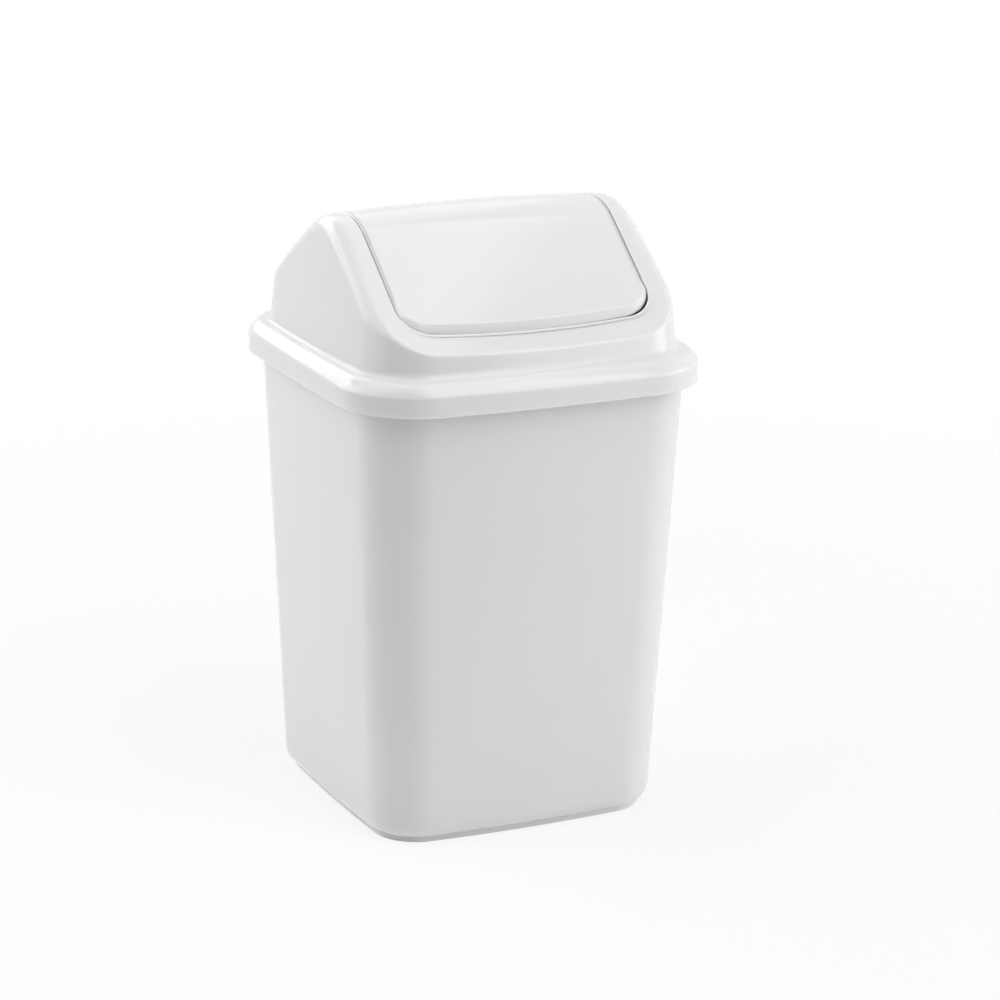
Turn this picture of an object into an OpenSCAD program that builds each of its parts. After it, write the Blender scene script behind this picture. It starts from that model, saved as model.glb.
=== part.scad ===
// Countertop bin with a lift-off gabled hood and a flap that swings both ways.
// Millimetres, +Z up, origin at the centre of the foot. The ridge runs along X.

/* [Overall] */
// Width and depth across the hood's skirt
skirt_w = 160; // [150:1:170]
// Height of the bin to the top of its rim
bin_h = 197.7; // [170:0.1:230]
// Share by which the left and right faces bow out at their middle
bow_side = 0.028; // [0:0.002:0.04]
// Share by which the front and back faces bow out at their middle
bow_front = 0.05; // [0:0.002:0.06]

/* [Bin] */
// Wall and floor thickness
bin_wall = 1.5; // [1.2:0.1:2]
// Horizontal run-in of each wall per millimetre of height
taper = 0.045; // [0.03:0.001:0.06]
// Plan radius of the corners at the rim
bin_corner = 23.4; // [20:0.1:26]
// Loss of that radius per millimetre down the wall
corner_taper = 0.015; // [0:0.001:0.03]
// Radius between the walls and the floor
floor_edge_r = 7; // [5:0.5:9]
// Height of the foot ring below the floor
foot_h = 1.8; // [1:0.1:2.5]
// Half width of the foot ring
foot_half = 61.4; // [60.4:0.1:62]
// Depth of the rim's turned-down lip
rim_lip = 7.5; // [6:0.5:9]

/* [Hood] */
// Wall thickness of the hood
hood_wall = 1.6; // [1.4:0.1:1.8]
// Height of the skirt's upright face
skirt_h = 8; // [6:0.1:9]
// Height and width of the shoulder above the skirt
shoulder_r = 4.8; // [4:0.1:5]
// Shape of the shoulder, from 1, a quarter circle, to 2, a straight chamfer
shoulder_cut = 1.5; // [1.2:0.1:1.7]
// Plan radius of the skirt's corners
skirt_corner = 29.8; // [27:0.1:32]
// Half width of the hood's walls where they meet the shoulder
hood_half = 71.4; // [70.5:0.1:72]
// Plan radius of the hood's corners
hood_corner = 23.6; // [21:0.1:26]
// Run-in of the gable walls per millimetre of height
gable_lean = 0.125; // [0.1:0.005:0.14]
// Run-in of the front and back walls per millimetre of height
front_lean = 0.089; // [0.06:0.001:0.12]
// Height of the gable tops above the rim
gable_h = 56.3; // [54:0.1:60]
// Extra height of the ridge at its middle
crown = 1.6; // [0.5:0.1:2]
// Angle of the two roof slopes
slope = 37.1; // [35:0.1:39]
// Radius of the ridge
ridge_r = 31; // [28:0.5:34]
// Radius of the roof's edges
edge_r = 2.8; // [2.4:0.1:3.2]

/* [Flap] */
// Half width of the opening, across the gables
mouth_x = 56.4; // [54:0.2:57]
// Half depth of the opening, from the ridge to its lower edge
mouth_y = 61.9; // [60:0.1:62.5]
// Corner radius of the opening, measured down the slope
mouth_corner = 13; // [11:0.5:15]
// Gap between flap and hood at the sides
side_gap = 1.2; // [1:0.1:1.6]
// Gap between flap and hood at the lower edges
end_gap = 1.4; // [1.2:0.1:1.8]
// Thickness of the flap's panel
flap_wall = 1.5; // [1.3:0.1:1.6]
// Radius of the flap's rounded edge
flap_edge_r = 2.2; // [2:0.1:2.4]
// Depth of the flap's side edges below its surface
flap_rim = 5; // [4.5:0.5:6]
// Depth of its lower edges, which have to swing past the hood
flap_end_rim = 2.3; // [2.2:0.1:2.4]
// Depth of the pins below the gable tops
pin_drop = 8; // [7.5:0.5:9]
// Radius of the pins
pin_r = 2.4; // [2:0.1:2.6]
// Radial play of the pins in their sockets
pin_play = 0.06; // [0.03:0.01:0.1]

/* [Hidden] */

corner_steps = 8;
side_steps = 7;
quadrants = [[1, 1], [-1, 1], [-1, -1], [1, -1]];

skirt_half = skirt_w / 2;
shoulder_z = bin_h + hood_wall;
skirt_top = shoulder_z - shoulder_r;
skirt_bottom = skirt_top - skirt_h;
gable_top = bin_h + gable_h;
pivot_z = gable_top - pin_drop;

rim_gap = 0.6;
rim_half = skirt_half - hood_wall - rim_gap;
rim_wall = 1.4;
rim_r = 3.4;
flange_w = 3.6;
bin_half = rim_half - flange_w;
mouth_r = 0.5;
foot_wall = 1.8;
foot_draft = 0.1;
hem_r = 0.3;
arc_mid = wall_half(foot_h + floor_edge_r) - floor_edge_r;

lip_h = 5;
lip_wall = 1.6;
lip_draft = 0.2;
fillet_r = 3.4;
fillet_side = 0.1;
weld = 0.4;
cutter = 10;

roof_half = hood_half - edge_r;
roof_corner = hood_corner - edge_r;
crease_y = roof_half;
gable_x = roof_half * lean_x(gable_top - edge_r);

flap_x = mouth_x - side_gap;
flap_y = mouth_y - end_gap;
flap_end = 9;
collar_wall = 1.2;
collar_h = 4.6;
ear_wall = 2.6;
ear_r = 5;
ear_top = gable_top - hood_wall + weld;
rib_pitch = 7.8;
rib_bottom = pivot_z - 2;
pin_len = 3.6;
pin_tip = 0.8;
pin_chamfer = 0.5;
skin_color = "white";

// --- plan outlines -------------------------------------------------------

// One rounded corner of a square, anticlockwise
function corner_points(half, r, q) = [
    for (k = [0:corner_steps])
        let (a = 90 * (q + k / corner_steps))
            quadrants[q] * (half - r) + r * [cos(a), sin(a)]
];

// A square with round corners and evenly divided sides
function square_points(half, r) = [
    for (q = [0:3])
        let (here = corner_points(half, r, q), next = corner_points(half, r, (q + 1) % 4))
        let (a = here[corner_steps], b = next[0])
            each concat(here, [for (k = [1:side_steps - 1]) a + (b - a) * k / side_steps])
];

// The same square with all four sides bowed outwards, and longer in Y by an amount at each end
function plan(half, r, longer = 0) = [
    for (p = square_points(half, r))
        let (bowed_x = p.x * (1 - bow_side * pow(p.y / half, 2)))
        let (bowed_y = p.y * (1 - bow_front * pow(p.x / half, 2)))
            [bowed_x, bowed_y * (1 + longer / half)]
];

// Outline of the opening or of the flap, seen from above. Its corners are round on the
// slope, so they are shorter in plan.
function mouth_points(half_x, half_y, r) = [
    for (q = [0:3], k = [0:corner_steps])
        let (a = 90 * (q + k / corner_steps))
        let (x = quadrants[q].x * (half_x - r) + r * cos(a))
        let (y = quadrants[q].y * (half_y - r * cos(slope)) + r * cos(slope) * sin(a))
            [x, y * (1 - bow_front * pow(x / half_x, 2))]
];

// --- lofts ---------------------------------------------------------------

// A skin over sections [half width, corner radius, height, extra half depth], bottom to top
// on the outside and back down on the inside. A closed one joins its last to its first.
module loft(sections, closed = false) {
    n = 4 * (corner_steps + side_steps);
    m = len(sections);
    points = [for (s = sections) each [for (p = plan(s[0], s[1], s[3])) [p.x, p.y, s[2]]]];
    walls = [
        for (i = [0:(closed ? m - 1 : m - 2)], k = [0:n - 1])
            let (j = (i + 1) % m, l = (k + 1) % n)
                each [[i * n + k, j * n + k, j * n + l], [i * n + k, j * n + l, i * n + l]]
    ];
    ends = closed ? [] : [[for (k = [0:n - 1]) k], [for (k = [n - 1:-1:0]) (m - 1) * n + k]];
    polyhedron(points, concat(walls, ends), convexity = 10);
}

// --- bin -----------------------------------------------------------------

function wall_half(z) = bin_half - taper * (bin_h - z);
function wall_corner(z) = bin_corner - corner_taper * (bin_h - z);
function skirt_section(inset, z) = [skirt_half - inset, skirt_corner - inset, z, 0];
function rim_section(inset, z) = skirt_section(skirt_half - rim_half + inset, z);

// A section of the bin's wall, or of its rounded lower edge, set in from the outer face
function bin_section(half, z) = [half, wall_corner(z) - (wall_half(z) - half), z, 0];

// The rounded lower edge, at a given distance from the arc's centre
function edge_section(r, a) =
    bin_section(arc_mid + r * cos(a), foot_h + floor_edge_r - r * sin(a));

function foot_sections() = [
    bin_section(foot_half - foot_wall, foot_h),
    bin_section(foot_half - foot_wall + foot_draft, hem_r),
    bin_section(foot_half - foot_wall + foot_draft + hem_r, 0),
    bin_section(foot_half - hem_r, 0),
    bin_section(foot_half, hem_r)
];

function rim_sections() = [
    bin_section(wall_half(bin_h - bin_wall), bin_h - bin_wall),
    rim_section(rim_wall, bin_h - bin_wall),
    rim_section(rim_wall, bin_h - rim_lip),
    rim_section(hem_r, bin_h - rim_lip),
    rim_section(0, bin_h - rim_lip + hem_r),
    for (a = [0:22.5:90]) rim_section(rim_r * cut_in(a), bin_h - rim_r * cut_in(90 - a)),
    bin_section(bin_half - bin_wall + mouth_r, bin_h),
    bin_section(bin_half - bin_wall, bin_h - mouth_r)
];

module bin() {
    inner_r = floor_edge_r - bin_wall;
    foot_angle = acos((foot_half + foot_draft - arc_mid) / floor_edge_r);
    outer_edge = [for (k = [0:5]) edge_section(floor_edge_r, foot_angle * (1 - k / 5))];
    inner_edge = [for (a = [0:15:90]) edge_section(inner_r, a)];
    color(skin_color) loft(concat(foot_sections(), outer_edge, rim_sections(), inner_edge));
}

// --- roof ----------------------------------------------------------------

function clamp01(t) = max(0, min(1, t));
function lean_x(z) = 1 - gable_lean * (z - shoulder_z) / roof_half;
function lean_y(z) = 1 - front_lean * (z - shoulder_z) / roof_half;

// Height of the gable profile at a depth under its outer face
function gable_z(y, depth) =
    let (r = ridge_r - depth, t = r * sin(slope), a = abs(y), mid = gable_top - ridge_r)
        a < t ? mid + sqrt(r * r - a * a) : mid + r * cos(slope) - (a - t) * tan(slope);

// Height that the crowned ridge adds, fading out down the slopes
function crown_z(x, y) =
    let (t = ridge_r * sin(slope))
        crown * (1 - pow(x / gable_x, 2)) * clamp01((crease_y - abs(y)) / (crease_y - t));

// Height at which a leaning wall meets the roof, found by repeated substitution
function eaves_z(y, z, tries) =
    tries == 0 ? z : eaves_z(y, gable_z(y * lean_y(z), edge_r), tries - 1);

// Centres of the balls that round the ridge, over a given half width
function ridge_points(half_x, depth) = [
    for (x = half_x * [-1, -0.67, -0.33, 0, 0.33, 0.67, 1], a = slope * [-1, -0.67, -0.33, 0, 0.33, 0.67, 1])
        let (y = (ridge_r - depth) * sin(a))
            [x, y, gable_z(y, depth) + crown_z(x, y)]
];

function roof_points(low) = [
    for (p = plan(roof_half, roof_corner))
        let (high = eaves_z(p.y, gable_top, 12))
            each [
                [p.x * lean_x(low), p.y * lean_y(low), low],
                [p.x * lean_x(high), p.y * lean_y(high), high]
            ]
];

// A blend over balls at all the given points
module rounded(points, r, steps) {
    hull() for (p = points) translate(p) sphere(r, $fn = steps);
}

// A prism along X under the gable profile, lowered by a drop
module under_gable(drop) {
    span = skirt_half;
    profile = [
        [-span, gable_z(span, 0) - drop],
        for (k = [-6:6]) let (y = ridge_r * sin(slope * k / 6)) [y, gable_z(y, 0) - drop],
        [span, gable_z(span, 0) - drop]
    ];
    rotate([90, 0, 90])
        linear_extrude(skirt_w, center = true)
            polygon(concat(profile, [[span, skirt_bottom], [-span, skirt_bottom]]));
}

// --- hood ----------------------------------------------------------------

// How far the shoulder's profile has come in after an angle, as a share of its width
function cut_in(a) = 1 - pow(cos(a), shoulder_cut);

// A section parallel to the hood's wall
function wall_section(inset, z) = [hood_half - inset, hood_corner - inset, z, 0];

// A section of the hollow where the shoulder meets the wall: wide at the front and back,
// narrow along the gables
function fillet_section(out, z) = [
    hood_half + out * fillet_side - front_lean * (z - shoulder_z),
    hood_corner + out * fillet_side,
    z,
    out * (1 - fillet_side)
];

function shoulder_sections() = [
    skirt_section(hood_wall - hem_r, skirt_bottom),
    skirt_section(hem_r, skirt_bottom),
    skirt_section(0, skirt_bottom + hem_r),
    for (a = [0:15:90])
        skirt_section(shoulder_r * cut_in(a), shoulder_z - shoulder_r * cut_in(90 - a)),
    for (a = [0:18:72])
        fillet_section(fillet_r * (1 - sin(a)), shoulder_z + fillet_r * (1 - cos(a))),
    wall_section(lip_wall - weld, shoulder_z + fillet_r - weld),
    wall_section(lip_wall, bin_h + weld),
    wall_section(lip_wall, bin_h - lip_h),
    wall_section(lip_draft, bin_h - lip_h),
    wall_section(0, bin_h),
    for (a = [90:-22.5:0])
        let (r = shoulder_r - hood_wall)
            skirt_section(hood_wall + r * cut_in(a), bin_h - r * cut_in(90 - a)),
    skirt_section(hood_wall, skirt_bottom + hem_r)
];

module mouth(grow, top, bottom) {
    translate([0, 0, bottom])
        linear_extrude(top - bottom)
            polygon(mouth_points(mouth_x + grow, mouth_y + grow, mouth_corner + grow));
}

module roof_shell() {
    difference() {
        rounded(concat(roof_points(skirt_bottom), ridge_points(gable_x, edge_r)), edge_r, 24);
        rounded(
            concat(roof_points(skirt_bottom), ridge_points(gable_x, edge_r)),
            edge_r - hood_wall,
            16
        );
        translate([-skirt_half, -skirt_half, bin_h + weld - skirt_w])
            cube(skirt_w);
        mouth(0, gable_top + cutter, bin_h + hood_wall);
    }
}

// Turned-down edge round the opening
module collar() {
    difference() {
        intersection() {
            mouth(collar_wall, gable_top + cutter / 2, bin_h + hood_wall);
            under_gable(hood_wall / 2);
        }
        under_gable(collar_h);
        mouth(0, gable_top + cutter, bin_h);
    }
}

// Ear with two ribs to the gable wall behind it
module socket_ear() {
    translate([mouth_x, 0, pivot_z])
        rotate([0, 90, 0])
            cylinder(h = ear_wall, r = ear_r, $fn = 48);
    translate([mouth_x, -ear_r, pivot_z])
        cube([ear_wall, 2 * ear_r, ear_top - pivot_z]);
    for (side = [-1, 1])
        translate([0, (side * rib_pitch + collar_wall) / 2, 0])
            rotate([90, 0, 0])
                linear_extrude(collar_wall)
                    polygon([
                        [mouth_x + collar_wall, rib_bottom],
                        [gable_mid(rib_bottom), rib_bottom],
                        [gable_mid(ear_top), ear_top],
                        [mouth_x + collar_wall, ear_top]
                    ]);
}

// Middle of the gable wall's thickness at a height
function gable_mid(z) = hood_half - gable_lean * (z - shoulder_z) - hood_wall / 2;

module hood() {
    color(skin_color)
        difference() {
            union() {
                roof_shell();
                loft(shoulder_sections(), closed = true);
                collar();
                socket_ear();
                mirror([1, 0, 0]) socket_ear();
            }
            translate([0, 0, pivot_z])
                rotate([0, 90, 0])
                    cylinder(
                        h = 2 * (mouth_x + ear_wall + weld),
                        r = pin_r + pin_play,
                        center = true,
                        $fn = 48
                    );
        }
}

// --- flap ----------------------------------------------------------------

function flap_points(low) = [
    for (p = mouth_points(flap_x - flap_edge_r, flap_y - flap_edge_r, mouth_corner - side_gap - flap_edge_r))
        let (z = gable_z(p.y, flap_edge_r) + crown_z(p.x, p.y))
            each [[p.x, p.y, z], [p.x, p.y, z - low]]
];

// Tab with a snap-in pin on one side of the flap
module pin_tab() {
    translate([flap_x - flap_wall, 0, pivot_z])
        rotate([0, 90, 0])
            cylinder(h = flap_wall, r = ear_r, $fn = 48);
    translate([flap_x - flap_wall, -ear_r, pivot_z])
        cube([flap_wall, 2 * ear_r, pin_drop - flap_edge_r]);
    translate([flap_x - weld, 0, pivot_z])
        rotate([0, 90, 0])
            cylinder(h = weld + pin_len - pin_tip, r = pin_r, $fn = 48);
    translate([flap_x + pin_len - pin_tip, 0, pivot_z])
        rotate([0, 90, 0])
            cylinder(h = pin_tip, r1 = pin_r, r2 = pin_r - pin_chamfer, $fn = 48);
}

// What the lower edge leaves out, so that it swings past the hood
module flap_end() {
    intersection() {
        under_gable(flap_end_rim);
        translate([-skirt_half, flap_y - flap_end, bin_h])
            cube([skirt_w, skirt_half, gable_h]);
    }
}

module flap() {
    ridge = ridge_points(flap_x - flap_edge_r, flap_edge_r);
    color(skin_color)
        union() {
            difference() {
                rounded(concat(flap_points(0), ridge), flap_edge_r, 24);
                rounded(concat(flap_points(cutter), ridge), flap_edge_r - flap_wall, 16);
                under_gable(flap_rim);
                flap_end();
                mirror([0, 1, 0]) flap_end();
            }
            pin_tab();
            mirror([1, 0, 0]) pin_tab();
        }
}

bin();
hood();
flap();
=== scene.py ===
"""Countertop bin with a gabled lift-off hood and a two-way swing flap.

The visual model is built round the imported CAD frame: the bucket, the hood and the flap are
three glossy white injection mouldings, each on its own CAD body. The mouldings' sizes are in
millimetres, and their meshes, the lamps, the floor and the camera are in metres.
"""

import logging
import math
from dataclasses import dataclass, field
from enum import Enum
from typing import Sequence

import bmesh
import bpy
from bmesh.types import BMEdge, BMesh, BMFace, BMVert
from bpy.types import Material, Node, NodeSocket, NodeTree, Object
from mathutils import Matrix, Vector


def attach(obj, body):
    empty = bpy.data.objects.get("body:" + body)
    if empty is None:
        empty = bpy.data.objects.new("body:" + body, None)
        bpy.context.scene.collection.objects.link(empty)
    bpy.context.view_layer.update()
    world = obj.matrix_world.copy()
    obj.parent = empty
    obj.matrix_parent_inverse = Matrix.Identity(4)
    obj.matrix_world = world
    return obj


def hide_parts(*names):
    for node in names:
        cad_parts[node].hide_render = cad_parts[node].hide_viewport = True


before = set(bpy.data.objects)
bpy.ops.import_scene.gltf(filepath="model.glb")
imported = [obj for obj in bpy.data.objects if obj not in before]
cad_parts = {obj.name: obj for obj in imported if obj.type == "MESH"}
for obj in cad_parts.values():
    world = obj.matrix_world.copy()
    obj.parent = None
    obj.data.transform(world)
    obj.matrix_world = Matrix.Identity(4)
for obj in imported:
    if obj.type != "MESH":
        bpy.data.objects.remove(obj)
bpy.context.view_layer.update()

LOG = logging.getLogger("bin_scene")
Rings = list[list[Vector]]
MM = 0.001  # metres in a millimetre
TINY = 1e-6
PIVOT_Z = 246.0  # height of the axis that the flap swings on
ROUNDING_POWER = 1.5
BODY_WHITE = (0.80, 0.80, 0.80)
FLAP_WHITE = (0.81, 0.81, 0.81)
PURE_WHITE = (1.0, 1.0, 1.0, 1.0)


def smooth_step(t: float) -> float:
    """Eases a share from 0 to 1."""
    t = min(1.0, max(0.0, t))
    return t * t * (3 - 2 * t)


def quarter_turn(steps: int) -> list[float]:
    """Angles from 0 to a quarter turn in equal steps, in radians."""
    return [math.radians(90 * k / steps) for k in range(steps + 1)]


def rounding(radius: float, steps: int) -> list[tuple[float, float]]:
    """Inset and rise along an edge that is rounded flatter than a quarter circle.

    Args:
        radius: Inset and rise of the whole edge.
        steps: Number of steps along it.

    Returns:
        Pairs of inset and rise, from the edge's foot to its top.
    """
    return [
        (radius * (1 - math.cos(t) ** ROUNDING_POWER), radius * math.sin(t) ** ROUNDING_POWER)
        for t in quarter_turn(steps)
    ]


def level(plan: Sequence[Vector], z: float) -> list[Vector]:
    """Lifts a ring in plan to a height."""
    return [Vector((p.x, p.y, z)) for p in plan]


class Side(Enum):
    """What part of the square plan a station lies on."""

    CORNER = "corner"
    ALONG_X = "along_x"
    ALONG_Y = "along_y"


@dataclass(frozen=True)
class Station:
    """One place on the way round a square with round corners.

    Attributes:
        side: Corner, or the straight side that follows it.
        quadrant: Number of the corner, anticlockwise from +X +Y.
        share: From 0 to 1 along that corner or side.
    """

    side: Side
    quadrant: int
    share: float

    @staticmethod
    def corner_signs(quadrant: int) -> Vector:
        """Signs of X and Y at a corner."""
        return Vector(((1, 1), (-1, 1), (-1, -1), (1, -1))[quadrant % 4])

    def place(self, half_x: float, half_y: float, round_x: float, round_y: float) -> Vector:
        """Where the station lies on a rectangle whose corners are quarter ellipses.

        Args:
            half_x: Half width of the rectangle.
            half_y: Half depth of the rectangle.
            round_x: Width of a corner.
            round_y: Depth of a corner.

        Returns:
            The point in plan.
        """
        if self.side is Side.CORNER:
            return self._on_corner(self.quadrant, self.share, half_x, half_y, round_x, round_y)
        start = self._on_corner(self.quadrant, 1.0, half_x, half_y, round_x, round_y)
        end = self._on_corner(self.quadrant + 1, 0.0, half_x, half_y, round_x, round_y)
        return start.lerp(end, self.share)

    @staticmethod
    def _on_corner(
        quadrant: int, share: float, half_x: float, half_y: float, round_x: float, round_y: float
    ) -> Vector:
        """A point on one rounded corner.

        Args:
            quadrant: Number of the corner.
            share: From 0 to 1 along it.
            half_x: Half width of the rectangle.
            half_y: Half depth of the rectangle.
            round_x: Width of the corner.
            round_y: Depth of the corner.

        Returns:
            The point in plan.
        """
        signs = Station.corner_signs(quadrant)
        angle = math.radians(90 * (quadrant + share))
        x = signs.x * (half_x - round_x) + round_x * math.cos(angle)
        y = signs.y * (half_y - round_y) + round_y * math.sin(angle)
        return Vector((x, y))


@dataclass(frozen=True)
class Bow:
    """Shares by which the sides of the plan bow outwards at their middles."""

    sides: float = 0.028
    front: float = 0.050

    def front_share(self, x: float, half_x: float) -> float:
        """What is left of a depth at a distance from the front's middle."""
        return 1 - self.front * (x / half_x) ** 2

    def apply(self, p: Vector, half: float) -> Vector:
        """Pulls a point of a square in, the more the nearer it lies to a corner."""
        side_share = 1 - self.sides * (p.y / half) ** 2
        return Vector((p.x * side_share, p.y * self.front_share(p.x, half)))


@dataclass(frozen=True)
class Outline:
    """Stations round the plan, the same number for every ring of a moulding."""

    corner_steps: int = 14
    x_steps: int = 18
    y_steps: int = 32
    bow: Bow = field(default_factory=Bow)

    def stations(self) -> list[Station]:
        """The stations in order, anticlockwise from the +X side's end.

        Returns:
            Corners and straight sides in turn.
        """
        found: list[Station] = []
        for quadrant in range(4):
            found += [
                Station(Side.CORNER, quadrant, k / self.corner_steps)
                for k in range(self.corner_steps + 1)
            ]
            side = Side.ALONG_X if quadrant % 2 == 0 else Side.ALONG_Y
            steps = self.x_steps if side is Side.ALONG_X else self.y_steps
            found += [Station(side, quadrant, k / steps) for k in range(1, steps)]
        return found

    def square(self, half: float, corner: float) -> list[Vector]:
        """A bowed square ring in plan."""
        return [self.bow.apply(s.place(half, half, corner, corner), half) for s in self.stations()]

    def mouth(self, half_x: float, half_y: float, round_x: float, round_y: float) -> list[Vector]:
        """A ring of the opening, whose lower edges bow outwards.

        Args:
            half_x: Half width.
            half_y: Half depth at the middle.
            round_x: Width of a corner.
            round_y: Depth of a corner.

        Returns:
            The ring in plan.
        """
        found = []
        for s in self.stations():
            p = s.place(half_x, half_y, round_x, round_y)
            found.append(Vector((p.x, p.y * self.bow.front_share(p.x, half_x))))
        return found

    @staticmethod
    def normals(ring: Sequence[Vector]) -> list[Vector]:
        """Outward directions of a closed anticlockwise ring in plan.

        Args:
            ring: The ring in plan.

        Returns:
            A unit vector for each point.
        """
        n = len(ring)
        found = []
        for k in range(n):
            along = ring[(k + 1) % n] - ring[k - 1]
            found.append(Vector((along.y, -along.x)).normalized())
        return found


class Ribbon:
    """A mesh that grows ring by ring: each new ring is extruded from the last one."""

    def __init__(self, ring: Sequence[Vector]) -> None:
        """Starts the mesh from a closed ring of vertices.

        Args:
            ring: Points in millimetres, in the row frame.
        """
        self.bm = bmesh.new()
        self.count = len(ring)
        bmesh.ops.create_circle(self.bm, segments=self.count, radius=1.0)
        self.bm.verts.ensure_lookup_table()
        self.last = list(self.bm.verts)
        self.first = self.last
        self._move(self.last, ring)

    @classmethod
    def carry_on(cls, bm: BMesh, verts: Sequence[BMVert]) -> "Ribbon":
        """Goes on growing from a closed border of a mesh that is there already.

        Args:
            bm: The mesh.
            verts: The border's vertices in order.

        Returns:
            A ribbon whose first ring is the border.
        """
        ribbon = cls.__new__(cls)
        ribbon.bm = bm
        ribbon.count = len(verts)
        ribbon.last = ribbon.first = list(verts)
        return ribbon

    @classmethod
    def through(cls, rings: Sequence[Sequence[Vector]]) -> "Ribbon":
        """Grows a mesh through all the rings of a moulding.

        Args:
            rings: The rings in order, in millimetres.

        Returns:
            The ribbon, open at both ends.
        """
        ribbon = cls(rings[0])
        for ring in rings[1:]:
            ribbon.grow(ring)
        return ribbon

    @staticmethod
    def _move(verts: Sequence[BMVert], ring: Sequence[Vector]) -> None:
        """Puts the vertices of a ring in their places."""
        for v, p in zip(verts, ring):
            v.co = Vector(p) * MM

    def grow(self, ring: Sequence[Vector]) -> None:
        """Extrudes the last ring and moves the new one.

        Args:
            ring: Where the new ring's points go, in millimetres.
        """
        made = bmesh.ops.extrude_edge_only(self.bm, edges=self.loop_edges(self.last))
        new = {g for g in made["geom"] if isinstance(g, BMVert)}
        following = []
        for v in self.last:
            other = next(e.other_vert(v) for e in v.link_edges if e.other_vert(v) in new)
            following.append(other)
        self.last = following
        self._move(self.last, ring)

    def loop_edges(self, verts: Sequence[BMVert]) -> list[BMEdge]:
        """The edges that join a ring's vertices.

        Args:
            verts: The ring's vertices in order.

        Returns:
            The edges in order.
        """
        return [
            self.bm.edges.get((verts[k], verts[(k + 1) % self.count])) for k in range(self.count)
        ]

    def close(self) -> None:
        """Bridges the last ring to the first."""
        bmesh.ops.bridge_loops(
            self.bm, edges=self.loop_edges(self.last) + self.loop_edges(self.first)
        )

    def cap(self, verts: Sequence[BMVert], upwards: bool) -> None:
        """Fills a flat ring with one face.

        Args:
            verts: The ring.
            upwards: True where the face looks up.
        """
        face = self.bm.faces.new(verts)
        face.normal_update()
        if (face.normal.z > 0) != upwards:
            face.normal_flip()


class Workshop:
    """Turns finished bmeshes into objects on the CAD bodies."""

    bare_angle = 62.0
    bare_softening = 0.25

    @staticmethod
    def thicken(bm: BMesh, wall: float) -> None:
        """Gives an open skin its wall inwards, and softens the wall's bare edges.

        Args:
            bm: The skin, whose faces are turned outwards here.
            wall: Thickness in millimetres.
        """
        Workshop.outwards(bm)
        bmesh.ops.solidify(bm, geom=bm.faces[:], thickness=wall * MM)
        limit = math.radians(Workshop.bare_angle)
        bare = [
            e for e in bm.edges if len(e.link_faces) == 2 and e.calc_face_angle(0.0) > limit
        ]
        Workshop.soften(bm, bare, Workshop.bare_softening)

    @staticmethod
    def soften(bm: BMesh, edges: list[BMEdge], size: float) -> None:
        """Bevels edges round.

        Args:
            bm: The mesh.
            edges: The edges.
            size: How far the bevel reaches from each edge, in millimetres.
        """
        bmesh.ops.bevel(
            bm, geom=edges, offset=size * MM, segments=2, profile=0.5, affect="EDGES", material=-1
        )

    @staticmethod
    def mirror(bm: BMesh) -> None:
        """Adds the mirror image on the -X side."""
        everything = bm.verts[:] + bm.edges[:] + bm.faces[:]
        bmesh.ops.mirror(bm, geom=everything, axis="X", merge_dist=0.0)

    @staticmethod
    def outwards(bm: BMesh) -> None:
        """Turns the faces of an open, roughly dome-shaped skin outwards.

        Args:
            bm: The skin.
        """
        bmesh.ops.recalc_face_normals(bm, faces=bm.faces[:])
        highest = max(bm.faces, key=lambda f: f.calc_center_median().z)
        if highest.normal.z < 0:
            bmesh.ops.reverse_faces(bm, faces=bm.faces[:])

    @staticmethod
    def finish(bm: BMesh, name: str, smooth_angle: float = 35.0) -> Object:
        """Makes an object from a bmesh.

        Args:
            bm: The mesh; it is freed.
            name: The piece's name.
            smooth_angle: Edges sharper than this many degrees stay sharp.

        Returns:
            The object, at the origin.
        """
        bmesh.ops.recalc_face_normals(bm, faces=bm.faces[:])
        for f in bm.faces:
            f.smooth = True
        limit = math.radians(smooth_angle)
        for e in bm.edges:
            e.smooth = len(e.link_faces) == 2 and e.calc_face_angle(0.0) < limit
        mesh = bpy.data.meshes.new(name)
        bm.to_mesh(mesh)
        bm.free()
        piece = bpy.data.objects.new(name, mesh)
        bpy.context.scene.collection.objects.link(piece)
        return piece

    @staticmethod
    def dress(piece: Object, material: Material, body: str, node: str, slot: str) -> Object:
        """Gives a piece its material and its body, and hides the CAD node it stands for.

        Args:
            piece: The piece.
            material: Its finish.
            body: The CAD body it rides on.
            node: The CAD node it stands for.
            slot: Not used.

        Returns:
            The piece.
        """
        piece.data.materials.clear()
        piece.data.materials.append(material)
        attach(piece, body)
        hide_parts(node)
        LOG.info("%s: %d faces on %s", piece.name, len(piece.data.polygons), body)
        return piece


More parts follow.
